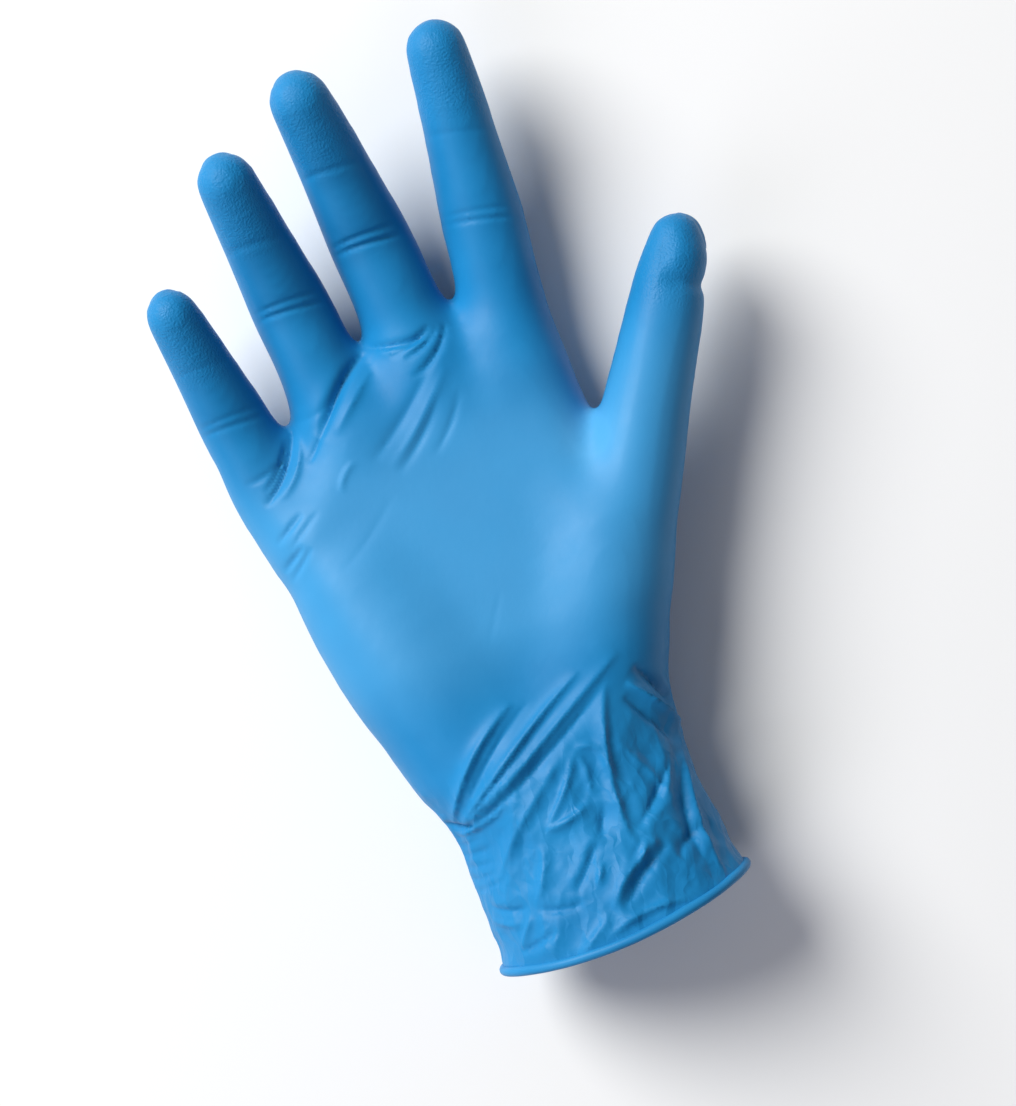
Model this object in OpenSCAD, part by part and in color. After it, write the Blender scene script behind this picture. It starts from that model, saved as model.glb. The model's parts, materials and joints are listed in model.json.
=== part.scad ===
// Disposable nitrile glove in the shape of the hand that wears it, lying on its back.
// +Y runs from the cuff to the fingertips, +X points to the thumb side and +Z out of the palm.
// The origin is the centre of the cuff mouth.
// A glove is one dipped film. Each node is one zone of it, and the zones meet where it bends.

/* [Film] */
// Thickness of the film
film = 0.1; // [0.08:0.01:0.3]
// Height of the cuff mouth's centre above the surface that the glove lies on
rest_height = 24; // [23:0.5:26]

/* [Cuff] */
// Width of the cuff mouth
mouth_w = 65; // [60:1:72]
// Height of the cuff mouth
mouth_h = 45.6; // [42:0.2:46]
// Width of the wrist
wrist_w = 61; // [56:1:66]
// Height of the wrist
wrist_h = 39; // [36:1:42]
// Distance from the mouth to the wrist bend
wrist_y = 43; // [38:1:48]
// Diameter of the rolled bead
bead_d = 2.4; // [1.6:0.1:3]

/* [Fingers] */
// Distance across the palm between the root bends of neighbouring fingers
knuckle_gap = 24; // [21:0.5:26]
// Distance from the mouth to the middle finger's root bend
knuckle_y = 160; // [145:1:172]
// How far back from the middle finger's each root bend sits: index, middle, ring, little
knuckle_back = [5, 0, 6, 24]; // [0:1:30]
// Length of each finger from its root bend to the centre of its dome
finger_l = [68, 67, 61, 52]; // [45:1:75]
// Radius of each finger at its root
finger_r = [10.8, 10.8, 10.4, 9.4]; // [8.5:0.1:12]
// Heading of each finger towards the thumb, in degrees
finger_way = [7, -4, -4, -6]; // [-12:1:12]

/* [Thumb] */
// Length of the thumb from its root bend to the centre of its dome
thumb_length = 43; // [36:1:50]
// Radius of the thumb at its root
thumb_root_r = 12; // [10:0.2:13]
// Heading of the thumb away from the fingers, in degrees
thumb_way = 33; // [25:1:40]

/* [Finger motion] */
// How far the root of a finger closes from rest
root_flex = 60; // [20:1:60]
// How far the middle bend of a finger closes from rest
middle_flex = 55; // [20:1:60]
// How far the tip bend of a finger closes from rest
tip_flex = 35; // [10:1:40]
// How far each thumb bend closes from rest
thumb_flex = 50; // [20:1:55]
// How far the wrist turns to either side
wrist_flex = 45; // [10:1:45]
// How far the thumb swings over the palm
swing_flex = 20; // [10:1:30]

/* [Hidden] */
$fn = 48;
film_blue = [0.13, 0.50, 0.80];
room = 0.4;     // clearance left at the end of a bend's travel
face_gap = 0.05; // slit between two zones that move apart
far = 400;      // longer than the glove

// What all fingers share: the height of their root bends, the share of its length that each of
// a finger's three stalls takes, and how the radius tapers over the bends to the dome.
knuckle_z = -12;
middle_x = 4.5;
stall_share = [0.35, 0.32, 0.33];
taper = [1, 0.94, 0.83, 0.74];
finger_names = ["index", "middle", "ring", "little"];
// How steeply each finger's three stalls rise from the palm, in degrees.
pitches = [[8, 14, 18], [10, 32, 36], [12, 32, 36], [12, 28, 32]];
// One row a finger: name, root bend, heading, pitches, the lengths of its stalls and its radii.
fingers = [for (i = [0:3]) [
    finger_names[i],
    [middle_x + (1 - i) * knuckle_gap, knuckle_y - knuckle_back[i], knuckle_z],
    finger_way[i],
    pitches[i],
    finger_l[i] * stall_share,
    finger_r[i] * taper
]];

// The thumb's root bend, its pitch, and its stalls' lengths and radii.
thumb_root = [53, 119, -2];
thumb_pitch = 4;
thumb_l = thumb_length * [0.55, 0.45];
thumb_r = thumb_root_r * [1, 0.85, 0.58];

// The line that the thumb swings about, from the wrist side to the web between thumb and index finger.
swing_point = [31, 92, 0];
swing_heading = 18;
swing_half = 6;
web_y = 27; // how far past the swing point the web's film still moves

// Spheres whose hull is the palm and the back of the hand: centre x, y, height above the surface and radius.
palm_balls = [
    [29, 133, 12.5], [4, 137.5, 13], [-19, 132, 12.5], [-38, 115.5, 12],
    [-30, 76, 17], [-19.5, 53, 18.5], [11.5, 53, 18.5], [22, 78, 20]
];
// Spheres whose hull is the base of the thumb: centre and radius.
thenar_balls = [[22, 78, -4, 20], [31, 111, -10, 13], [43, 103.5, -2.8, 12.6]];

// The wrist and the heel of the hand sit a little to the little-finger side of the mouth.
wrist_x = -1.8;
heel_x = -4;
heel_w = 68;
heel_h = 37;

// Half the length of the bend zone round a tube of radius r that bends by a degrees in all.
function bend_half(r, a) = r * tan(a / 2) + room;
// A finger's three bend zones, from its root.
function halves(f) = [
    bend_half(f[5][0], f[3][0] + root_flex),
    bend_half(f[5][1], f[3][1] - f[3][0] + middle_flex),
    bend_half(f[5][2], f[3][2] - f[3][1] + tip_flex)
];
function thumb_half(i) = bend_half(thumb_r[i], thumb_flex);
wrist_half = bend_half(wrist_h / 2, wrist_flex);
wrist_z = wrist_h / 2 - rest_height;
sleeve_w = (mouth_w + wrist_w) / 2;
sleeve_h = (mouth_h + wrist_h) / 2;
// An upright oval of n points, w wide and h high, centred at c: an ellipse, or round-ended if flat.
function oval(w, h, c, flat, n) = [
    for (i = [0:n - 1])
        let (across = cos(360 * i / n), end = flat ? (w - h) / 2 * sign(across) : 0)
            c + [end + (flat ? h : w) / 2 * across, 0, h / 2 * sin(360 * i / n)]
];

// A tube along +Y whose outer radius goes from r1 to r2.
module tube(l, r1, r2)
    rotate([-90, 0, 0]) rotate_extrude()
        polygon([[r1 - film, 0], [r1, 0], [r2, l], [r2 - film, l]]);

// A tube along +Y that ends in a dome of radius r2 centred at l.
module domed_tube(l, r1, r2, steps = 10) {
    outer = [for (i = [0:steps]) [r2 * cos(90 * i / steps), l + r2 * sin(90 * i / steps)]];
    r_in = r2 - film;
    inner = [for (i = [steps:-1:0]) [r_in * cos(90 * i / steps), l + r_in * sin(90 * i / steps)]];
    rotate([-90, 0, 0]) rotate_extrude()
        polygon(concat([[r1 - film, 0], [r1, 0]], outer, inner));
}

// An elbow centred on a bend: it starts half before the bend, along +Y, and turns towards +Z by bend degrees.
module elbow(half, r, bend) {
    if (bend > 0) {
        arc_r = half / tan(bend / 2);
        translate([0, -half, arc_r]) rotate([0, 90, 0])
            rotate_extrude(angle = bend) translate([arc_r, 0]) difference() {
                circle(r);
                circle(r - film);
            }
    } else {
        translate([0, -half, 0]) tube(2 * half, r, r);
    }
}

// Places a child at a finger's bend number i, facing along stall number s. Stall -1 is the palm itself.
module at_bend(f, i, s) {
    pitch = s < 0 ? 0 : f[3][s];
    along = [for (k = 0, d = [0, 0]; k <= i; d = d + f[4][k] * [cos(f[3][k]), sin(f[3][k])], k = k + 1) d];
    place = along[i];
    translate(f[1]) rotate([0, 0, -f[2]]) translate([0, place[0], place[1]])
        rotate([pitch, 0, 0]) children();
}

// The crease at bend i, which turns from the stall before it to the stall after it.
module crease(f, i) {
    before = i == 0 ? 0 : f[3][i - 1];
    color(film_blue) at_bend(f, i, i - 1) elbow(halves(f)[i], f[5][i], f[3][i] - before);
}

// The straight stall between bends i and i + 1.
module stall(f, i) {
    h = halves(f);
    color(film_blue) at_bend(f, i, i) translate([0, h[i] + face_gap, 0])
        tube(f[4][i] - h[i] - h[i + 1] - face_gap, f[5][i], f[5][i + 1]);
}

module fingertip(f) {
    h = halves(f);
    color(film_blue) at_bend(f, 2, 2) translate([0, h[2] + face_gap, 0])
        domed_tube(f[4][2] - h[2] - face_gap, f[5][2], f[5][3]);
}

// Places a child at the thumb's root bend, or further along it.
module along_thumb(d)
    translate(thumb_root) rotate([0, 0, -thumb_way]) rotate([thumb_pitch, 0, 0])
        translate([0, d, 0]) children();

// The space on the thumb's side of the swing line, its wall moved by d towards the thumb.
module thumb_side(d)
    translate(swing_point) rotate([0, 0, -swing_heading])
        translate([d, web_y - far, -far / 2]) cube(far);

// The solid hand between wrist and bends, drawn in by t, without the fingers.
module hand_form(t) {
    hull() for (b = palm_balls)
        translate([b[0], b[1], b[2] - rest_height]) sphere(b[2] - t, $fn = 32);
    hull() for (b = thenar_balls)
        translate([b[0], b[1], b[2]]) sphere(b[3] - t, $fn = 32);
}

// The short tubes that lead from the hand to each finger's and the thumb's root bend, drawn in by t.
module sockets(t, extra) {
    l = 18;
    for (f = fingers)
        at_bend(f, 0, -1) translate([0, -halves(f)[0] - l, 0]) rotate([-90, 0, 0])
            cylinder(h = l + extra, r = f[5][0] - t);
    along_thumb(-thumb_half(0) - 12) rotate([-90, 0, 0])
        cylinder(h = 12 + extra, r = thumb_r[0] - t);
}

// The room in front of the sockets, where the root creases are.
module crease_room() {
    for (f = fingers)
        at_bend(f, 0, -1) translate([0, -halves(f)[0], 0]) rotate([-90, 0, 0])
            cylinder(h = 20, r = f[5][0] + face_gap);
    along_thumb(-thumb_half(0)) rotate([-90, 0, 0]) cylinder(h = 20, r = thumb_r[0] + face_gap);
}

// The film of the hand, open at the wrist, at each finger and at the thumb.
module hand_film() {
    difference() {
        union() {
            hand_form(0);
            sockets(0, 0);
        }
        hand_form(film);
        sockets(film, 1);
        crease_room();
        translate([-far / 2, wrist_y + wrist_half - far, -far / 2]) cube(far);
    }
}

module palm_shell()
    color(film_blue) difference() {
        hand_film();
        thumb_side(-swing_half);
    }

module thenar_crease()
    color(film_blue) difference() {
        intersection() {
            hand_film();
            thumb_side(-swing_half);
        }
        thumb_side(swing_half);
    }

module thumb_base()
    color(film_blue) intersection() {
        hand_film();
        translate([0, -2 * face_gap, 0]) thumb_side(swing_half + face_gap);
    }

module thumb_root_crease()
    color(film_blue) along_thumb(0) elbow(thumb_half(0), thumb_r[0], 0);

module thumb_stall()
    color(film_blue) along_thumb(thumb_half(0) + face_gap)
        tube(thumb_l[0] - thumb_half(0) - thumb_half(1) - face_gap, thumb_r[0], thumb_r[1]);

module thumb_tip_crease()
    color(film_blue) along_thumb(thumb_l[0]) elbow(thumb_half(1), thumb_r[1], 0);

module thumb_tip()
    color(film_blue) along_thumb(thumb_l[0] + thumb_half(1) + face_gap)
        domed_tube(thumb_l[1] - thumb_half(1) - face_gap, thumb_r[1], thumb_r[2]);

// A shell of ovals along Y: each station is width, height, centre and whether its ends are round.
module ring_shell(stations, n = 48) {
    m = len(stations);
    outer = [for (s = stations) each oval(s[0], s[1], s[2], s[3], n)];
    inner = [for (s = stations) each oval(s[0] - 2 * film, s[1] - 2 * film, s[2], s[3], n)];
    function o(k, i) = k * n + i % n;
    function q(k, i) = m * n + o(k, i);
    walls = [for (k = [0:m - 2], i = [0:n - 1]) each [
        [o(k, i), o(k, i + 1), o(k + 1, i + 1)], [o(k, i), o(k + 1, i + 1), o(k + 1, i)],
        [q(k, i + 1), q(k, i), q(k + 1, i + 1)], [q(k + 1, i + 1), q(k, i), q(k + 1, i)]
    ]];
    rims = [for (i = [0:n - 1]) each [
        [o(0, i + 1), o(0, i), q(0, i)], [o(0, i + 1), q(0, i), q(0, i + 1)],
        [o(m - 1, i), o(m - 1, i + 1), q(m - 1, i)], [q(m - 1, i), o(m - 1, i + 1), q(m - 1, i + 1)]
    ]];
    polyhedron(concat(outer, inner), concat(walls, rims), convexity = 6);
}

module wrist_gather()
    color(film_blue) ring_shell([
        [wrist_w, wrist_h, [wrist_x, wrist_y - wrist_half, wrist_z], false],
        [wrist_w, wrist_h, [wrist_x, wrist_y, wrist_z], false],
        [heel_w, heel_h, [heel_x, wrist_y + wrist_half - face_gap, heel_h / 2 - rest_height], true]
    ]);

module cuff_sleeve()
    color(film_blue) ring_shell([
        [mouth_w, mouth_h, [0, bead_d, 0], false],
        [sleeve_w, sleeve_h, [wrist_x / 3, (wrist_y - wrist_half) / 2, wrist_z / 2], false],
        [wrist_w, wrist_h, [wrist_x, wrist_y - wrist_half - face_gap, wrist_z], false]
    ]);

// The film rolled up on itself round the mouth.
module cuff_bead(n = 48, sides = 12) {
    function spot(i, k) = [
        (mouth_w / 2 + bead_d / 2 * cos(360 * k / sides)) * cos(360 * i / n),
        bead_d / 2 + bead_d / 2 * sin(360 * k / sides) * 0.98,
        (mouth_h / 2 + bead_d / 2 * cos(360 * k / sides)) * sin(360 * i / n)
    ];
    function v(i, k) = (i % n) * sides + k % sides;
    color(film_blue) polyhedron(
        [for (i = [0:n - 1], k = [0:sides - 1]) spot(i, k)],
        [for (i = [0:n - 1], k = [0:sides - 1]) each [
            [v(i, k), v(i, k + 1), v(i + 1, k + 1)], [v(i, k), v(i + 1, k + 1), v(i + 1, k)]
        ]], convexity = 6);
}

palm_shell();
thenar_crease();
wrist_gather();
cuff_sleeve();
cuff_bead();
for (f = fingers) {
    crease(f, 0);
    stall(f, 0);
    crease(f, 1);
    stall(f, 1);
    crease(f, 2);
    fingertip(f);
}
thumb_base();
thumb_root_crease();
thumb_stall();
thumb_tip_crease();
thumb_tip();
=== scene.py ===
import json
import math

import bpy
import numpy as np
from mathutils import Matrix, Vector


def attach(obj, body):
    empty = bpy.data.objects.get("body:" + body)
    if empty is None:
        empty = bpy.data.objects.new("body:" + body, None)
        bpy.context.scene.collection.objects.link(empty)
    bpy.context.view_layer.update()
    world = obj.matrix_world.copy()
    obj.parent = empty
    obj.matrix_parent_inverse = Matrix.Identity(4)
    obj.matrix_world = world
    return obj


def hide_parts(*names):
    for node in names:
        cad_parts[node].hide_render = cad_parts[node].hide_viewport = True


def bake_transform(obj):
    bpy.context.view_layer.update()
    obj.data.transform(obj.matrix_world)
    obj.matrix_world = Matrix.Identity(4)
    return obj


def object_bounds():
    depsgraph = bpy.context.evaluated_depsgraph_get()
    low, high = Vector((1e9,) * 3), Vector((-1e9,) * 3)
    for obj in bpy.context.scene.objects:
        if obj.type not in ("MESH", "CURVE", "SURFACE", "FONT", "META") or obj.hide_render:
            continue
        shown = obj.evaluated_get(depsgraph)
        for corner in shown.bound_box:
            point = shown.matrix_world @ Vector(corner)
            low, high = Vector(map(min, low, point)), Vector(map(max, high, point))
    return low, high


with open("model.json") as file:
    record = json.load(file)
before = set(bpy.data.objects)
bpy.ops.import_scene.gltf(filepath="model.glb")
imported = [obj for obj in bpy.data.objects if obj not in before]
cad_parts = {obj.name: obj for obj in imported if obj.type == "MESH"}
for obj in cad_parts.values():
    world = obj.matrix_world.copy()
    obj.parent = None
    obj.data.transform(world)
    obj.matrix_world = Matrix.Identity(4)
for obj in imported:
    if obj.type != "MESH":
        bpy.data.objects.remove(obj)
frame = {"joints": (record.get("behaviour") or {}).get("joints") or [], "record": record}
cad_box = [list(v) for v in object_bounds()]

MM = 0.001
FILM = 0.14  # thickness of the film, in mm as all lengths below are until the meshes are made
SEED = 11
rng = np.random.default_rng(SEED)
JOINTS = {j["name"]: j for j in frame["joints"]}


def pivot(name):
    return np.array(JOINTS[name]["pos_m"], float) / MM


def unit(v):
    return v / np.linalg.norm(v)


def heading(degrees):
    h = math.radians(degrees)
    return np.array([math.sin(h), math.cos(h), 0.0])


def smooth_step(x, low, high):
    t = np.clip((x - low) / (high - low), 0, 1)
    return t * t * (3 - 2 * t)


# ---------------------------------------------------------------- the hand's form
# The bends come from the frame. Each finger's radius at its root, and how all of them swell and
# taper: inside the palm, at each bend and half-way to the next, and at the centre of the dome.
ROOT_RADIUS = {"index": 10.8, "middle": 10.8, "ring": 10.4, "little": 9.4}
SWELL = (1.02, 1.03, 0.99, 0.99, 0.92, 0.85, 0.79, 0.72)
TIP_SHARE = 1.03  # a fingertip's length to its dome, over the length of the stall before it
TIP_RISE = math.radians(4)
UP_Z = np.array([0.0, 0.0, 1.0])
# How far each finger's middle leans towards the thumb, off the straight line through its bends.
LEAN = {"index": 1.2, "middle": 1.2, "ring": 0.2, "little": 0.5}
LEAN_ALONG = (0, 0.3, 0.8, 1, 1, 1, 0.9, 0.6)


def finger_line(name):
    """Balls along a finger, from inside the palm to the dome: x, y, z and radius."""
    root, middle, tip = (pivot(f"{name}_{bend}_bend") for bend in ("root", "middle", "tip"))
    level = unit((middle - root) * [1, 1, 0])
    last = unit(tip - middle) + UP_Z * math.tan(TIP_RISE)
    dome = tip + unit(last) * TIP_SHARE * np.linalg.norm(tip - middle)
    inside = (root - level * 17) * [0.93, 1, 1]
    places = [inside, root, (root + middle) / 2, middle, (middle + tip) / 2, tip, (tip + dome) / 2, dome]
    across = np.array([level[1], -level[0], 0]) * LEAN[name]
    return [(*(p + across * lean), ROOT_RADIUS[name] * s) for p, lean, s in zip(places, LEAN_ALONG, SWELL)]


def thumb_line():
    root, tip = pivot("thumb_root_bend"), pivot("thumb_tip_bend")
    dome = tip + (tip - root) * 0.8 - [1, 0, 0]
    return [
        (31, 84, -4, 13.0), (42, 101, -3, 12.4), (*root, 11.2), (*(root + tip) / 2, 10.5),
        (*tip, 9.9), (*(tip + dome) / 2, 8.8), (*dome, 6.8),
    ]


FINGER_LINES = {name: finger_line(name) for name in ROOT_RADIUS}
FINGER_LINES["thumb"] = thumb_line()
# The palm is a flat plate with round edges: its outline's corners, and how thick it is along its length.
PALM_OUTLINE = np.array([
    (27, 138), (4, 143), (-18, 137), (-35, 119), (-31, 97), (-25, 76), (-16, 53), (9, 53), (18, 68), (26, 92),
], float)
PALM_Y = (50, 78, 100, 120, 145)
PALM_HALF = (18, 17, 15, 13.5, 12)
# The pads at both sides of it, and the film between the fingers' roots.
PADS = [
    [(27, 101, -8, 10.5), (31, 91, -4, 13), (25, 77, -4, 14.5), (17, 64, -5, 15.5), (9, 53, -6, 16.5)],
    [(-29, 100, -9, 14), (-25.5, 84, -7, 16.3), (-20.5, 68, -6, 17.2), (-15, 55, -6, 17)],
    [(27, 149, -13, 8), (16, 152, -13, 7.5), (5, 151, -13, 8)],
    [(2, 150, -13, 8), (-8, 150, -13, 7.5), (-18, 147, -13, 8)],
    [(-21, 142, -13, 8), (-31, 137, -13, 7.5), (-41, 131, -13, 7.5)],
]
# Stations of the cuff: y, centre x, centre z, half width, half height.
CUFF = np.array([
    (-12, 0, 0, 34, 23), (1, 0, 0, 33, 22.5), (8, 0, -0.5, 32, 22), (17, -0.6, -1.5, 32, 21.2),
    (26, -0.5, -3, 31.2, 20.6), (36, -0.5, -4, 30.8, 20), (43, -1, -4.6, 31.4, 19.4),
    (50, -2.6, -5.4, 32.6, 18.4), (60, -4.4, -6.5, 31, 15.5), (75, -5.4, -8.5, 24, 10),
    (90, -5.4, -10, 14, 5),
], float)


CURVE_STEPS = 3


def smooth_line(points):
    """Points between the control points, on a curve through them."""
    p = np.array(points, float)
    p = np.vstack([2 * p[0] - p[1], p, 2 * p[-1] - p[-2]])
    out = []
    for i in range(1, len(p) - 2):
        for t in np.arange(CURVE_STEPS) / CURVE_STEPS:
            out.append(0.5 * (
                2 * p[i] + (p[i + 1] - p[i - 1]) * t
                + (2 * p[i - 1] - 5 * p[i] + 4 * p[i + 1] - p[i + 2]) * t * t
                + (3 * p[i] - p[i - 1] - 3 * p[i + 1] + p[i + 2]) * t ** 3
            ))
    out.append(p[-2])
    return np.array(out)


FINGER_CURVES = {n: smooth_line(l) for n, l in FINGER_LINES.items()}
PAD_CURVES = [smooth_line(l) for l in PADS]
REACH = 14.0  # beyond this distance a part of the form has no effect
BACK_Z = -24  # the plane that the back of the hand lies on
PAD_BLEND, CUFF_BLEND, FINGER_BLEND, THUMB_BLEND = 9, 8, 7, 6  # how widely each part melts in


def along(p, line):
    """Distance from each point to a line of balls, or REACH where that is nearer."""
    out = np.full(len(p), REACH)
    lo, hi = (line[:, :3] - line[:, 3:]).min(0) - REACH, (line[:, :3] + line[:, 3:]).max(0) + REACH
    near = np.flatnonzero(((p > lo) & (p < hi)).all(1))
    if not len(near):
        return out
    q = p[near]
    best = np.full(len(q), REACH)
    for a, b in zip(line, line[1:]):
        ab = b[:3] - a[:3]
        t = np.clip((q - a[:3]) @ ab / (ab @ ab), 0, 1)
        d = q - a[:3] - t[:, None] * ab
        best = np.minimum(best, np.sqrt((d * d).sum(1)) - a[3] - t * (b[3] - a[3]))
    out[near] = best
    return out


def smooth_min(a, b, k):
    """The smaller of two distances, rounded off where they differ by less than k."""
    h = np.clip(0.5 + 0.5 * (b - a) / k, 0, 1)
    return b + (a - b) * h - k * h * (1 - h)


def palm_distance(p):
    """Distance to the plate of the palm."""
    xy = p[:, :2]
    flat = np.full(len(p), 1e9)
    inside = np.ones(len(p), bool)
    for a, b in zip(PALM_OUTLINE, np.roll(PALM_OUTLINE, -1, 0)):
        ab = b - a
        t = np.clip((xy - a) @ ab / (ab @ ab), 0, 1)
        d = xy - a - t[:, None] * ab
        flat = np.minimum(flat, (d * d).sum(1))
        inside &= ab[0] * (xy[:, 1] - a[1]) - ab[1] * (xy[:, 0] - a[0]) > 0
    flat[inside] = 0
    half = np.interp(p[:, 1], PALM_Y, PALM_HALF)
    return np.sqrt(flat + (p[:, 2] - BACK_Z - half) ** 2) - half


CUFF_END = 88  # the cuff's form ends inside the palm


def cuff_distance(p):
    """Distance to the oval tube of the cuff, roughly."""
    y = p[:, 1]
    cx, cz, a, b = (np.interp(y, CUFF[:, 0], CUFF[:, i]) for i in (1, 2, 3, 4))
    u, v = (p[:, 0] - cx), (p[:, 2] - cz)
    k0 = np.sqrt((u / a) ** 2 + (v / b) ** 2) + 1e-9
    k1 = np.sqrt((u / a ** 2) ** 2 + (v / b ** 2) ** 2) + 1e-9
    return np.maximum(k0 * (k0 - 1) / k1, y - CUFF_END)


def form(p):
    """Signed distance to the hand, in mm."""
    palm = palm_distance(p)
    for line in PAD_CURVES:
        palm = smooth_min(palm, along(p, line), PAD_BLEND)
    palm = smooth_min(palm, cuff_distance(p), CUFF_BLEND)
    fingers = np.full(len(p), REACH)
    for name in ROOT_RADIUS:
        fingers = np.minimum(fingers, along(p, FINGER_CURVES[name]))
    both = smooth_min(palm, fingers, FINGER_BLEND)
    return smooth_min(both, along(p, FINGER_CURVES["thumb"]), THUMB_BLEND)


def gradient(p):
    """The form's outward direction at each point, and how fast the distance grows along it."""
    h = 0.25
    g = np.empty_like(p)
    for i in range(3):
        d = np.zeros(3)
        d[i] = h
        g[:, i] = form(p + d) - form(p - d)
    n = np.linalg.norm(g, axis=1, keepdims=True)
    return g / np.maximum(n, 1e-9), n[:, 0] / (2 * h)


def project(p, times):
    """Moves points onto the surface."""
    for _ in range(times):
        g, s = gradient(p)
        p = p - g * (form(p) / np.maximum(s, 0.3))[:, None]
    return p


# ---------------------------------------------------------------- its surface
def surface_net(lo, hi, step):
    """Corners and quads of the surface where form() is 0."""
    axes = [np.arange(lo[i], hi[i], step) for i in range(3)]
    grid = np.stack(np.meshgrid(*axes, indexing="ij"), -1)
    shape = grid.shape[:3]
    inside = (form(grid.reshape(-1, 3)) < 0).reshape(shape)
    count = np.zeros([n - 1 for n in shape], int)
    for dx in (0, 1):
        for dy in (0, 1):
            for dz in (0, 1):
                count += inside[dx:shape[0] - 1 + dx, dy:shape[1] - 1 + dy, dz:shape[2] - 1 + dz]
    active = (count > 0) & (count < 8)
    number = np.full(count.shape, -1)
    number[active] = np.arange(active.sum())
    corners = np.array(lo) + step * (np.argwhere(active) + 0.5)
    quads = []
    for axis in range(3):
        a, b = (axis + 1) % 3, (axis + 2) % 3
        first = np.moveaxis(inside, (axis, a, b), (0, 1, 2))
        cells = np.moveaxis(number, (axis, a, b), (0, 1, 2))
        low, high = first[:-1, 1:-1, 1:-1], first[1:, 1:-1, 1:-1]
        ring = [cells[:, :-1, :-1], cells[:, 1:, :-1], cells[:, 1:, 1:], cells[:, :-1, 1:]]
        for select, order in ((low & ~high, (0, 1, 2, 3)), (~low & high, (3, 2, 1, 0))):
            quads.append(np.stack([ring[i][select] for i in order], -1))
    return corners, np.vstack(quads)


def subdivide(p, quads):
    """Divides each quad in four."""
    edges = np.sort(np.stack([quads, np.roll(quads, -1, 1)], -1).reshape(-1, 2), 1)
    unique, index = np.unique(edges, axis=0, return_inverse=True)
    index = index.reshape(-1, 4)
    middles, centres = p[unique].mean(1), p[quads].mean(1)
    n, m = len(p), len(unique)
    c = n + m + np.arange(len(quads))
    e = n + index
    parts = [np.stack([quads[:, i], e[:, i], c, e[:, i - 1]], -1) for i in range(4)]
    return np.vstack([p, middles, centres]), np.vstack(parts)


def relax(p, quads, times, keep):
    """Moves each corner towards the mean of its neighbours. keep is 1 where a corner stays put."""
    edges = np.unique(np.sort(np.stack([quads, np.roll(quads, -1, 1)], -1).reshape(-1, 2), 1), axis=0)
    i, j = np.concatenate([edges[:, 0], edges[:, 1]]), np.concatenate([edges[:, 1], edges[:, 0]])
    weight = np.bincount(i, minlength=len(p))[:, None]
    for _ in range(times):
        mean = np.stack([np.bincount(i, p[j, k], minlength=len(p)) for k in range(3)], -1) / weight
        p = p + (mean - p) * 0.5 * (1 - keep)[:, None]
    return p


def corner_normals(p, quads):
    d = np.cross(p[quads[:, 2]] - p[quads[:, 0]], p[quads[:, 3]] - p[quads[:, 1]])
    n = np.stack([np.bincount(quads.ravel(), np.repeat(d[:, k], 4), minlength=len(p)) for k in range(3)], -1)
    return n / np.maximum(np.linalg.norm(n, axis=1, keepdims=True), 1e-12)


def tidy(p, quads):
    """Drops the corners that no quad uses."""
    used, quads = np.unique(quads, return_inverse=True)
    return p[used], quads.reshape(-1, 4)


MOUTH = 1.2  # where the film meets the bead
SOFTEN = 36  # passes that soften the joins between the parts of the form
NET_LOW, NET_HIGH, NET_STEP = (-62, -8, -32), (94, 236, 36), 1.4
points, quads = surface_net(NET_LOW, NET_HIGH, NET_STEP)
points = project(points, 4)
quads = quads[points[quads][:, :, 1].mean(1) > MOUTH]
points, quads = tidy(points, quads)


def at_mouth(p):
    """1 for the corners near the mouth, which stay put."""
    return (p[:, 1] < MOUTH + 2).astype(float)


points = project(relax(points, quads, 2, at_mouth(points)), 1)
points, quads = subdivide(points, quads)
points = project(relax(project(points, 1), quads, 1, at_mouth(points)), 1)
points = relax(points, quads, SOFTEN, at_mouth(points))
normals = corner_normals(points, quads)
rest = points.copy()


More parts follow.
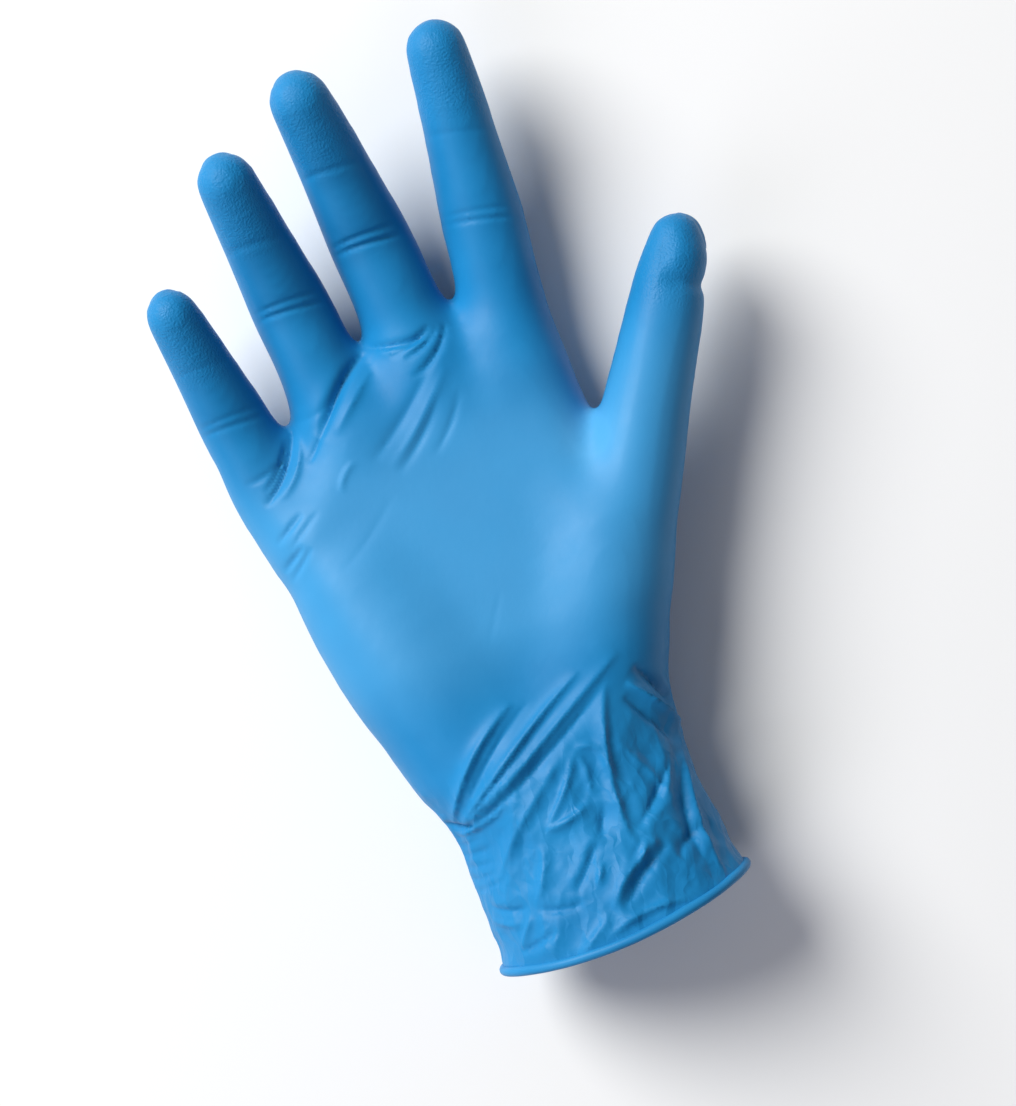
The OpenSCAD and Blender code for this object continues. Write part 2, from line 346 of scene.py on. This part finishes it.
# ---------------------------------------------------------------- folds, creases and crumples
# Each fold: start, end, how far its middle bows to the left, height, and its width on the left
# and on the right, all in mm, seen from the palm's side and walking from the start. A height
# below 0 is a groove. Folds of the cuff:
CUFF_FOLDS = [
    ((-32, 38), (-6, 63), 3, 1.2, 2.0, 0.9), ((-30, 38), (-2, 62), 2, -0.5, 0.8, 1.3),
    ((-31, 38), (12, 64), 1, 1.2, 1.8, 0.9), ((-29, 37), (23, 65), 0, 0.9, 2.2, 1.0),
    ((-27, 37), (17, 59), -1, -0.7, 0.9, 2.0), ((-30, 38), (-9, 49), 0, 0.6, 0.8, 0.8),
    ((-31, 37), (-16, 41), -1, 0.8, 0.9, 0.9), ((-33, 41), (-26, 38), -1, -1.5, 0.9, 0.9),
    ((17, 59), (9, 19), -3, 1.3, 1.2, 2.4), ((9, 44), (12, 32), 0, 0.4, 1.2, 0.9),
    ((4, 47), (10, 44), 1, 0.7, 0.9, 1.4), ((4, 47), (-10, 31), 1, 0.8, 1.4, 1.0),
    ((-10, 31), (3, 34), -1, 0.9, 0.8, 1.6), ((4, 46), (3, 34), 1, 0.6, 1.2, 0.9),
    ((-26, 23), (0, 46), 1, 0.8, 2.6, 1.6), ((-12, 28), (-19, 15), 1, 0.7, 1.6, 1.0),
    ((-19, 14), (-8, 12), -1, -0.8, 1.0, 1.0), ((1, 24), (-9, 14), 0, -0.9, 1.4, 1.4),
    ((6, 32), (2, 24), 0, -0.9, 1.8, 1.8), ((12, 20), (8, 14), 0, 0.8, 0.9, 0.9),
    ((0, 19), (-3, 14), 0, 0.7, 0.8, 0.8), ((17, 17), (1, 7), -1, -1.2, 1.2, 2.2),
    ((15, 19), (-2, 8), -1, 1.0, 1.2, 2.2), ((-2, 8), (-14, 1), 0, 0.8, 2.2, 1.6),
    ((18, 13), (27, 17), 1, -1.1, 2.2, 1.8), ((29, 36), (27, 3), -2, 1.2, 1.0, 2.0),
    ((28, 34), (24, 8), -2, -0.9, 1.0, 1.8), ((22, 57), (32, 38), 1, 1.6, 0.9, 1.2),
    ((25, 60), (34, 42), 1, -1.7, 1.3, 1.6), ((20, 54), (29, 38), 0, -1.0, 1.6, 1.0),
    ((27, 38), (11, 23), 1, -1.0, 1.4, 1.4), ((27, 39), (20, 27), 0, 0.8, 1.0, 1.2),
    ((-5, 3), (16, 3), 2, 1.0, 1.2, 0.8), ((-27, 5), (-16, 8), 0, -0.7, 0.8, 0.8),
    ((-26, 6), (-21, 13), 0, 0.6, 0.9, 0.9), ((-30, 18), (-21, 15), -1, -0.7, 0.8, 0.9),
    ((-31, 15), (-23, 12), -1, 0.6, 0.9, 0.9), ((13, 46), (22, 25), 1, 0.5, 1.6, 1.2),
]
# Folds of the palm: the creases at the fingers' roots, the pulls that run down from the webs and
# the small wrinkles at the little finger's side.
PALM_FOLDS = [
    ((-7, 159), (11, 157), -2, -0.9, 0.9, 0.9), ((-5, 157), (8, 154), -1, 0.4, 0.9, 1.2),
    ((10, 158), (-2, 154), 1, -0.7, 0.7, 0.7), ((12, 157), (1, 152), 1, -0.7, 0.7, 0.7),
    ((14, 157), (1, 147), 2, -0.8, 0.9, 0.9), ((8, 150), (-16, 131), 1, -0.5, 1.5, 1.8),
    ((10, 147), (-12, 128), 1, 0.45, 1.6, 1.5), ((6, 141), (-11, 126), 1, -0.4, 1.2, 1.4),
    ((11, 140), (-1, 127), 1, -0.3, 0.9, 0.9), ((-8, 158), (-26, 142), -1, -2.0, 1.5, 1.4),
    ((-25, 143), (-31, 137), 0, -0.6, 0.8, 0.8), ((-8, 153), (-22, 141), 0, 0.5, 1.2, 1.4),
    ((-31, 148), (-17, 152), -2, -0.25, 1.0, 1.0), ((-32, 147), (-45, 131), 2, -1.4, 0.9, 0.9),
    ((-34, 145), (-44, 134), 1, -0.8, 0.7, 0.7), ((-31, 144), (-41, 131), 2, 0.6, 0.9, 0.9),
    ((-48, 138), (-38, 140), -1, -0.4, 0.8, 0.8), ((-37, 126), (-46, 121), 0, -0.6, 0.7, 0.7),
    ((-33, 125), (-44, 118), 0, -0.3, 0.7, 0.7), ((-40, 118), (-47, 114), 0, -0.7, 0.8, 0.8),
    ((-38, 117), (-46, 111), 0, -0.5, 0.7, 0.7), ((-20, 133), (-26, 127), -1, 0.4, 0.8, 0.7),
    ((-14, 122), (-34, 108), 1, -0.1, 1.2, 1.2), ((2, 90), (-6, 78), 0, -0.07, 0.6, 0.6),
]


def fold_height(xy, folds, narrow):
    """How far the folds lift each point, their widths multiplied by narrow."""
    lift = np.zeros(len(xy))
    widest = 3.5  # widths past which a fold has died out
    for start, end, bow, height, left, right in folds:
        a, b = np.array(start, float), np.array(end, float)
        way = b - a
        length = np.linalg.norm(way)
        side = np.array([-way[1], way[0]]) / length
        t = (xy - a) @ way / length ** 2
        across = (xy - a) @ side - bow * 4 * t * (1 - t)
        near = np.flatnonzero((t > 0) & (t < 1) & (np.abs(across) < widest * max(left, right)))
        t, across = t[near], across[near]
        ends = np.sin(np.pi * t) ** 0.7
        width = narrow * np.where(across > 0, left, right)
        lift[near] += height * ends * np.exp(-np.abs(across / width) ** 1.3)
    return lift


def crumple(p, count, size, long_way, stretch):
    """A net of crests round dished cells, size mm across and stretch times longer along long_way."""
    seeds = p[rng.choice(len(p), count, replace=False)]
    level = rng.uniform(0, 0.5, count)
    best = np.full(len(p), 1e9)
    for s, c in zip(seeds, level):
        d = p - s
        u = d @ long_way
        best = np.minimum(best, c + ((d * d).sum(1) - u * u * (1 - stretch ** -2)) / size ** 2)
    return np.minimum(best, 1.6)


def cross_lines(name, offsets, depth, width):
    """Grooves across a finger at its middle or tip bend."""
    finger, bend = name.split("_")
    centre = pivot(f"{finger}_{bend}_bend")
    way = unit((pivot(f"{finger}_tip_bend") - pivot(f"{finger}_middle_bend")) * [1, 1, 0])
    side = np.array([way[1], -way[0], 0])
    d = rest - centre
    near = smooth_step(-np.abs(d @ side), -10, -4) * (np.abs(d[:, 2]) < 16)
    lift = np.zeros(len(rest))
    for k, offset in enumerate(offsets):
        slant = offset - (0.15 - 0.05 * k) * (d @ side)
        lift -= depth / (1 + 0.4 * k) * near * np.exp(-((d @ way - slant) / width) ** 2)
    return lift


palm_side = smooth_step(normals[:, 2], 0.0, 0.35)
back_side = smooth_step(-normals[:, 2], 0.1, 0.5)
on_cuff = smooth_step(-rest[:, 1], -58, -38)
# The folds' heights and widths are multiplied by these.
CUFF_RELIEF, CUFF_NARROW = 1.45, 0.8
PALM_RELIEF, PALM_NARROW = 1.4, 0.85
lift = palm_side * CUFF_RELIEF * fold_height(rest[:, :2], CUFF_FOLDS, CUFF_NARROW)
lift += palm_side * PALM_RELIEF * fold_height(rest[:, :2], PALM_FOLDS, PALM_NARROW)
# Fine lines across the cuff on the little finger's side.
side_lines = [
    ((-33, y), (-24, y + rng.uniform(0, 1)), 0, -0.4, 0.6, 0.6) for y in (36, 34, 31, 28, 25, 22)
]
lift += palm_side * fold_height(rest[:, :2], side_lines, 1)
# The cuff is crumpled all round, coarsely and finely, its cells longer along the arm.
cuff_points = np.flatnonzero(rest[:, 1] < 64)
cuff_p = rest[cuff_points]
coarse = crumple(cuff_p, 110, 8.0, unit(np.array([0.35, 1, 0])), 2.0)
fine = crumple(cuff_p, 700, 3.2, unit(np.array([0.7, 1, 0])), 1.7)
free = 1 - 0.65 * smooth_step(-cuff_p[:, 1], -6, -1)
COARSE_HEIGHT, FINE_HEIGHT = 1.1, 0.3
crumpled = COARSE_HEIGHT * (coarse - 0.5) + FINE_HEIGHT * (fine - 0.5)
lift[cuff_points] += on_cuff[cuff_points] * free * crumpled
# Creases under the fingers' middle and tip bends, and wrinkles over their knuckles.
for finger, depth in (("index", 0.45), ("middle", 0.75), ("ring", 0.5), ("little", 0.3)):
    lift += palm_side * cross_lines(finger + "_middle", (-1, 1.3), depth, 0.6)
    lift += palm_side * cross_lines(finger + "_tip", (0,), depth / 3, 0.8)
    lift += back_side * cross_lines(finger + "_middle", (-3, 0, 3), 0.5, 1.0)
# The nails show through the film on the back of the fingertips.
for name, line in FINGER_LINES.items():
    dome, before = np.array(line[-1][:3]), np.array(line[-2][:3])
    way = unit(dome - before)
    up = unit(np.cross(np.cross(way, UP_Z), way))
    if name == "thumb":
        up = unit(up * 0.75 - np.cross(way, up) * 0.65)
    d = rest - dome
    across = np.cross(way, up)
    radius = line[-1][3]
    reach = np.sqrt(((d @ way) / (radius * 0.95)) ** 2 + ((d @ across) / (radius * 0.72)) ** 2)
    height = 0.8 if name == "thumb" else 0.45
    lift += height * (d @ up < 0) * smooth_step(-reach, -1.05, -0.85)
    if name == "thumb":
        # It stands out at the thumb's side, over a notch.
        past = d @ way
        beside = smooth_step(normals @ across, 0.3, 0.8) * (np.linalg.norm(d, axis=1) < 20)
        lift += 0.9 * beside * (np.exp(-((past + 3) / 4) ** 2) - np.exp(-((past + 10.5) / 2) ** 2))
points = points + normals * lift[:, None]
# The glove lies on its back, so nothing of it reaches below the lowest point of its bead.
points[:, 2] = np.maximum(points[:, 2], cad_box[0][2] / MM)


def mouth_shift(x, y):
    """The mouth's edge dips in the middle and rises at both sides."""
    return (-1.5 + 3.2 * (x / 33) ** 2 + 1.1 * x / 33) * smooth_step(-y, -16, -MOUTH)


points[:, 1] += mouth_shift(points[:, 0], points[:, 1])
normals = corner_normals(points, quads)


# ---------------------------------------------------------------- its zones
def bend_half(radius, degrees):
    """Half the length of the bend zone round a tube."""
    return radius * math.tan(math.radians(degrees / 2)) + 0.4


# Each bend's zone: body before, body after, its start and its end.
zones = {}
MIDDLE_FLEX, TIP_FLEX = 77, 39  # the angles that the middle and tip zones leave room for
# A finger's root bends past the webs at both its sides, so that the webs stay whole. These are the
# webs' bottoms, from the thumb's side on, with a point at each side of the hand to end the line.
WEBS = [(42, 157), (16, 162), (-8, 160), (-31, 147), (-52, 138)]
ROOT_LENGTH = {"index": 10, "middle": 12, "ring": 7, "little": 7}
for k, (name, radius) in enumerate(ROOT_RADIUS.items()):
    bodies = ["hand", name + "_proximal", name + "_middle", name + "_tip"]
    line = [np.array(p[:3]) for p in FINGER_LINES[name]]
    right, left = (np.array((*WEBS[i], line[1][2]), float) for i in (k, k + 1))
    past_webs = unit(np.array([left[1] - right[1], right[0] - left[0], 0])) * ROOT_LENGTH[name]
    zones[name + "_root_crease"] = (bodies[0], bodies[1], right, right + past_webs)
    for i, bend, flex in ((3, "middle", MIDDLE_FLEX), (5, "tip", TIP_FLEX)):
        half = bend_half(radius * SWELL[i], flex)
        # The little finger's web reaches up to its middle bend, so that zone starts late.
        before = 0.5 if name + bend == "littlemiddle" else half
        start = line[i] - unit(line[i] - line[i - 2]) * before
        end = line[i] + unit(line[i + 2] - line[i]) * half
        zones[f"{name}_{bend}_crease"] = (bodies[i // 2], bodies[i // 2 + 1], start, end)
thumb_way = unit(pivot("thumb_tip_bend") - pivot("thumb_root_bend"))
thumb_side = np.array([thumb_way[1], -thumb_way[0], 0])
oblique = heading(50)  # the thumb's root bends obliquely
SWING_WAY = heading(18)
# The thumb's base starts on a line from the wrist's edge to the web, so both ends of its crease stay
# with the hand. The line passes the swing's pivot at CREASE_OFF.
side = heading(4 + 90)
CREASE_OFF = 5
for zone, before, after, joint, way, low, high in (
    ("thumb_root_crease", "thumb_base", "thumb_proximal", "thumb_root_bend", oblique, -6, 6),
    ("thumb_tip_crease", "thumb_proximal", "thumb_tip", "thumb_tip_bend", thumb_way, -5.2, 5.2),
    ("thenar_crease", "hand", "thumb_base", "thumb_swing", side, CREASE_OFF, CREASE_OFF + 5),
    ("wrist_gather", "cuff", "hand", "wrist_bend", heading(0), -8.5, 8.5),
):
    zones[zone] = (before, after, pivot(joint) + way * low, pivot(joint) + way * high)


def share(p, zone):
    """How far through a zone each point is: 0 at its start, 1 at its end."""
    _, _, start, end = zones[zone]
    d = end - start
    return (p - start) @ d / (d @ d)


middle_of = rest[quads].mean(1)
nearest = np.stack([along(middle_of, FINGER_CURVES[n]) for n in FINGER_LINES], -1)
names = list(FINGER_LINES)
which = nearest.argmin(1)
piece_of = np.full(len(quads), "palm_shell", dtype=object)

t = share(middle_of, "wrist_gather")
piece_of[t <= 0] = "cuff_sleeve"
piece_of[(t > 0) & (t < 1)] = "wrist_gather"
hand = t >= 1
t = share(middle_of, "thenar_crease")
up_the_hand = (middle_of - pivot("thumb_swing")) @ SWING_WAY
WEB_TOP, THUMB_HALF = 36, 24  # how far the thumb's web reaches up the hand, and the thumb to a side
nearest_thumb = which == names.index("thumb")
for_thumb = hand & (nearest_thumb | (up_the_hand < WEB_TOP))
piece_of[for_thumb & (t > 0)] = "thenar_crease"
piece_of[for_thumb & (t >= 1)] = "thumb_base"
lateral = np.abs((middle_of - pivot("thumb_root_bend")) @ thumb_side)
past_web = nearest_thumb & (share(middle_of, "thumb_root_crease") > 0)
out_on_thumb = hand & ((t >= 1) | past_web) & (lateral < THUMB_HALF)
for zone, after in (("thumb_root_crease", "thumb_stall"), ("thumb_tip_crease", "thumb_tip")):
    t = share(middle_of, zone)
    piece_of[out_on_thumb & (t > 0)] = zone
    piece_of[out_on_thumb & (t >= 1)] = after
    out_on_thumb &= t >= 1
for k, name in enumerate(ROOT_RADIUS):
    mine = hand & (which == k)
    for bend, after in (("root", "proximal_stall"), ("middle", "middle_stall"), ("tip", "fingertip")):
        t = share(middle_of, f"{name}_{bend}_crease")
        piece_of[mine & (t > 0)] = f"{name}_{bend}_crease"
        piece_of[mine & (t >= 1)] = f"{name}_{after}"
        mine = mine & (t >= 1)


# ---------------------------------------------------------------- what the material needs to know
# How tightly the film is stretched, with a painted highlight on the flat palm where it faces up to the lamps
# and at the thumb's web, and how near a fingertip with its grip texture is.
web_stretch_and_highlight = np.exp(-(((rest - [37, 117, 0]) / [7, 7, 14]) ** 2).sum(1))
palm_stretch_and_highlight = smooth_step(rest[:, 1], 60, 85) * smooth_step(-rest[:, 1], -150, -120) * palm_side
stretch = np.clip(0.9 * web_stretch_and_highlight + 0.5 * palm_stretch_and_highlight, 0, 1)
grip = np.zeros(len(rest))
for line in FINGER_LINES.values():
    away = np.linalg.norm(rest - np.array(line[-1][:3]), axis=1)
    grip = np.maximum(grip, smooth_step(-away, -24, -12))
looks = {"stretch": stretch, "grip": grip, "loose": on_cuff}


# ---------------------------------------------------------------- materials
def nodes_of(material):
    material.use_nodes = True
    tree = material.node_tree
    tree.nodes.clear()
    return tree


def add(tree, kind, **values):
    n = tree.nodes.new(kind)
    for key, value in values.items():
        setattr(n, key, value)
    return n


def attribute(tree, name, output):
    return add(tree, "ShaderNodeAttribute", attribute_name=name).outputs[output]


def noise(tree, where, scale, detail):
    n = add(tree, "ShaderNodeTexNoise")
    n.inputs["Scale"].default_value = scale
    n.inputs["Detail"].default_value = detail
    tree.links.new(where, n.inputs["Vector"])
    return n.outputs["Fac"]


def ramp(tree, value, low, dark, high, light):
    r = add(tree, "ShaderNodeValToRGB")
    for element, position, colour in zip(r.color_ramp.elements, (low, high), (dark, light)):
        element.position = position
        element.color = (*colour, 1)
    tree.links.new(value, r.inputs["Fac"])
    return r.outputs["Color"]


def math_node(tree, operation, a, b):
    n = add(tree, "ShaderNodeMath", operation=operation)
    for socket, value in zip(n.inputs, (a, b)):
        if isinstance(value, (int, float)):
            socket.default_value = value
        else:
            tree.links.new(value, socket)
    return n.outputs[0]


def crease_net(tree, where):
    """Flat facets between straight sharp creases, as in crumpled film."""
    warp = add(tree, "ShaderNodeTexNoise")
    warp.inputs["Scale"].default_value = 0.12
    tree.links.new(where, warp.inputs["Vector"])
    shift = add(tree, "ShaderNodeVectorMath", operation="MULTIPLY_ADD")
    shift.inputs[1].default_value = (7, 7, 7)
    tree.links.new(warp.outputs["Color"], shift.inputs[0])
    tree.links.new(where, shift.inputs[2])
    slant = add(tree, "ShaderNodeMapping")
    slant.inputs["Rotation"].default_value = (0.2, 0.3, 0.5)
    slant.inputs["Scale"].default_value = (1, 0.5, 1)
    tree.links.new(shift.outputs[0], slant.inputs["Vector"])
    cells = add(tree, "ShaderNodeTexVoronoi", feature="F1", distance="MANHATTAN")
    cells.inputs["Scale"].default_value = 0.13
    tree.links.new(slant.outputs[0], cells.inputs["Vector"])
    return math_node(tree, "MULTIPLY", cells.outputs["Distance"], 2.2)


def nitrile(name, dark, light, stretch_and_highlight_colour):
    """Dipped film: cloudy blue, paler where it is stretched and under a painted highlight on the palm and at
    the thumb's web, pebbled at the fingertips.
    """
    m = bpy.data.materials.new(name)
    tree = nodes_of(m)
    link = tree.links.new
    out = add(tree, "ShaderNodeOutputMaterial")
    shader = add(tree, "ShaderNodeBsdfPrincipled")
    link(shader.outputs[0], out.inputs[0])
    where = attribute(tree, "rest", "Vector")
    cloud = ramp(tree, noise(tree, where, 0.06, 4), 0.3, dark, 0.7, light)
    mix = add(tree, "ShaderNodeMix", data_type="RGBA")
    sockets = [s for s in mix.inputs if s.type == "RGBA"]
    # The stretch attribute mixes in the last colour: paler stretched film, with a painted highlight on the
    # palm and at the thumb's web.
    link(attribute(tree, "stretch", "Fac"), mix.inputs[0])
    link(cloud, sockets[0])
    sockets[1].default_value = (*stretch_and_highlight_colour, 1)
    link([s for s in mix.outputs if s.type == "RGBA"][0], shader.inputs["Base Color"])
    pebble = math_node(tree, "MULTIPLY", noise(tree, where, 1.7, 2), attribute(tree, "grip", "Fac"))
    skin = math_node(tree, "MULTIPLY", noise(tree, where, 0.7, 3), 0.09)
    crease = math_node(tree, "MULTIPLY", crease_net(tree, where), attribute(tree, "loose", "Fac"))
    bump = add(tree, "ShaderNodeBump")
    bump.inputs["Strength"].default_value = 0.45
    bump.inputs["Distance"].default_value = 0.0006
    relief = math_node(tree, "ADD", math_node(tree, "ADD", pebble, skin), crease)
    link(relief, bump.inputs["Height"])
    link(bump.outputs[0], shader.inputs["Normal"])
    gloss = ramp(tree, noise(tree, where, 0.15, 2), 0.3, (0.42,) * 3, 0.7, (0.5,) * 3)
    link(gloss, shader.inputs["Roughness"])
    shader.inputs["Specular IOR Level"].default_value = 0.22
    return m


# The last colour is for paler stretched film and a painted highlight.
FILM_MATERIAL = nitrile("nitrile_film", (0.008, 0.2, 0.47), (0.012, 0.23, 0.52), (0.075, 0.35, 0.66))


# ---------------------------------------------------------------- the pieces
def link_mesh(name, co, faces, face_normals, attributes):
    """A mesh from quads, with a normal for every face corner."""
    mesh = bpy.data.meshes.new(name)
    mesh.vertices.add(len(co))
    mesh.vertices.foreach_set("co", (co * MM).astype(np.float32).ravel())
    mesh.loops.add(faces.size)
    mesh.loops.foreach_set("vertex_index", faces.astype(np.int32).ravel())
    mesh.polygons.add(len(faces))
    mesh.polygons.foreach_set("loop_start", np.arange(0, faces.size, 4, dtype=np.int32))
    mesh.update(calc_edges=True)
    mesh.validate()
    mesh.shade_smooth()
    for key, value in attributes.items():
        kind, field = ("FLOAT_VECTOR", "vector") if value.ndim == 2 else ("FLOAT", "value")
        data = mesh.attributes.new(key, kind, "POINT").data
        data.foreach_set(field, value.astype(np.float32).ravel())
    mesh.normals_split_custom_set(face_normals.reshape(-1, 3).tolist())
    mesh.materials.append(FILM_MATERIAL)
    o = bpy.data.objects.new(name, mesh)
    bpy.context.scene.collection.objects.link(o)
    return o


def film_piece(name, faces):
    """The film of some faces: an outer and an inner skin joined at their rims."""
    used, f = np.unique(faces, return_inverse=True)
    f = f.reshape(-1, 4)
    n = len(used)
    outer, out_n = points[used], normals[used]
    edges = np.stack([f, np.roll(f, -1, 1)], -1).reshape(-1, 2)
    key = np.sort(edges, 1) @ np.array([n, 1])
    _, first, count = np.unique(key, return_index=True, return_counts=True)
    rim = edges[first[count == 1]]
    rim_faces = np.stack([rim[:, 1], rim[:, 0], rim[:, 0] + n, rim[:, 1] + n], -1)
    both = np.vstack([outer, outer - out_n * FILM])
    corners = both[rim_faces]
    rim_n = np.cross(corners[:, 2] - corners[:, 0], corners[:, 3] - corners[:, 1])
    rim_n /= np.maximum(np.linalg.norm(rim_n, axis=1, keepdims=True), 1e-12)
    face_normals = np.vstack([
        out_n[f].reshape(-1, 3), -out_n[f[:, ::-1]].reshape(-1, 3), np.repeat(rim_n, 4, 0),
    ])
    attributes = {"rest": np.tile(rest[used], (2, 1))}
    attributes.update({key: np.tile(value[used], 2) for key, value in looks.items()})
    return link_mesh(name, both, np.vstack([f, f[:, ::-1] + n, rim_faces]), face_normals, attributes)


def ring_piece(name, rings):
    """A tube through rings of points, closed to a ring itself."""
    m, n = rings.shape[:2]
    i, j = np.meshgrid(np.arange(m), np.arange(n), indexing="ij")
    up, on = (i + 1) % m, (j + 1) % n
    faces = np.stack([i * n + j, i * n + on, up * n + on, up * n + j], -1).reshape(-1, 4)
    co = rings.reshape(-1, 3)
    out_n = corner_normals(co, faces)
    plain = np.zeros(len(co))
    attributes = {"rest": co, "stretch": plain + 0.1, "grip": plain, "loose": plain}
    return link_mesh(name, co, faces, out_n[faces], attributes)


BODY_OF = {n: b for b, ns in frame["record"]["behaviour"]["bodies"].items() for n in ns}
for name in sorted(set(piece_of)):
    piece = film_piece("film_" + name, quads[piece_of == name])
    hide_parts(name)
    if name in zones:
        before, after, start, end = zones[name]
        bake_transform(piece)
    else:
        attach(piece, BODY_OF[name])

# The film rolled up on itself round the mouth. Its roll is a little uneven.
BEAD_R = 1.25
angle = np.linspace(0, 2 * np.pi, 360, endpoint=False)
around = np.linspace(0, 2 * np.pi, 16, endpoint=False)
waves = [(k, rng.uniform(0.3, 1) / k, rng.uniform(0, 2 * np.pi)) for k in (5, 9, 14, 23)]
uneven = sum(a * np.sin(k * angle + phase) for k, a, phase in waves)
roll_r = (BEAD_R * (1 + 0.25 * uneven))[:, None]
outward = np.stack([np.cos(angle), np.sin(angle)], -1)
rim_x, rim_z = 33.0 * outward[:, :1], 22.5 * outward[:, 1:]
rings = np.stack([
    rim_x + roll_r * np.cos(around) * outward[:, :1],
    MOUTH - 0.5 + mouth_shift(rim_x, MOUTH) + 0.5 * uneven[:, None] + roll_r * np.sin(around),
    rim_z + roll_r * np.cos(around) * outward[:, 1:],
], -1)
bead = ring_piece("rolled_bead", rings[::-1])
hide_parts("cuff_bead")
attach(bead, "cuff")


# ---------------------------------------------------------------- the room
def area_light(name, place, target, size, power, colour):
    data = bpy.data.lights.new(name, "AREA")
    data.shape = "DISK"
    data.size = size
    data.energy = power
    data.color = colour
    o = bpy.data.objects.new(name, data)
    o.location = place
    o.rotation_mode = "QUATERNION"
    o.rotation_quaternion = (Vector(target) - Vector(place)).to_track_quat("-Z", "Y")
    bpy.context.scene.collection.objects.link(o)
    return o


# In metres from here on. The camera looks straight down at AIM, turned so that the hand leans left.
AIM = Vector((0.0069, 0.0975, 0))
ROLL = math.radians(22)
EYE_HEIGHT, VIEW_WIDTH = 0.8, 0.2765
RIGHT = Vector((math.cos(ROLL), -math.sin(ROLL), 0))
UP = Vector((math.sin(ROLL), math.cos(ROLL), 0))
camera = bpy.data.cameras.new("camera")
camera.sensor_width = 36
camera.lens = camera.sensor_width * EYE_HEIGHT / VIEW_WIDTH
camera.clip_start, camera.clip_end = 0.05, 10
eye = bpy.data.objects.new("camera", camera)
eye.location = AIM + Vector((0, 0, EYE_HEIGHT))
eye.rotation_euler = (0, 0, -ROLL)
bpy.context.scene.collection.objects.link(eye)
bpy.context.scene.camera = eye

key = AIM - RIGHT * 1.5 + UP * 0.9 + Vector((0, 0, 1.45))
area_light("key", key, AIM, 1.5, 69, (1.0, 1.0, 0.97))
fill = AIM - RIGHT - UP + Vector((0, 0, 1))
area_light("fill", fill, AIM, 1.2, 7.2, (0.85, 0.88, 1.0))

world = bpy.data.worlds.new("room")
bpy.context.scene.world = world
tree = nodes_of(world)
background = add(tree, "ShaderNodeBackground")
background.inputs["Color"].default_value = (0.9, 0.9, 1.0, 1)
background.inputs["Strength"].default_value = 0.19
world_out = add(tree, "ShaderNodeOutputWorld")
tree.links.new(background.outputs[0], world_out.inputs[0])

floor_mesh = bpy.data.meshes.new("floor")
FLOOR_HALF = 3.0
low = -0.0241  # just under the glove's lowest point
corners = [(x * FLOOR_HALF, y * FLOOR_HALF, low) for x, y in ((-1, -1), (1, -1), (1, 1), (-1, 1))]
floor_mesh.from_pydata(corners, [], [(0, 1, 2, 3)])
floor = bpy.data.objects.new("floor", floor_mesh)
bpy.context.scene.collection.objects.link(floor)
paint = bpy.data.materials.new("floor_paint")
tree = nodes_of(paint)
matt = add(tree, "ShaderNodeBsdfDiffuse")
matt.inputs["Color"].default_value = (0.93, 0.93, 0.93, 1)
paint_out = add(tree, "ShaderNodeOutputMaterial")
tree.links.new(matt.outputs[0], paint_out.inputs[0])
floor_mesh.materials.append(paint)

bpy.context.scene.view_settings.view_transform = "Standard"
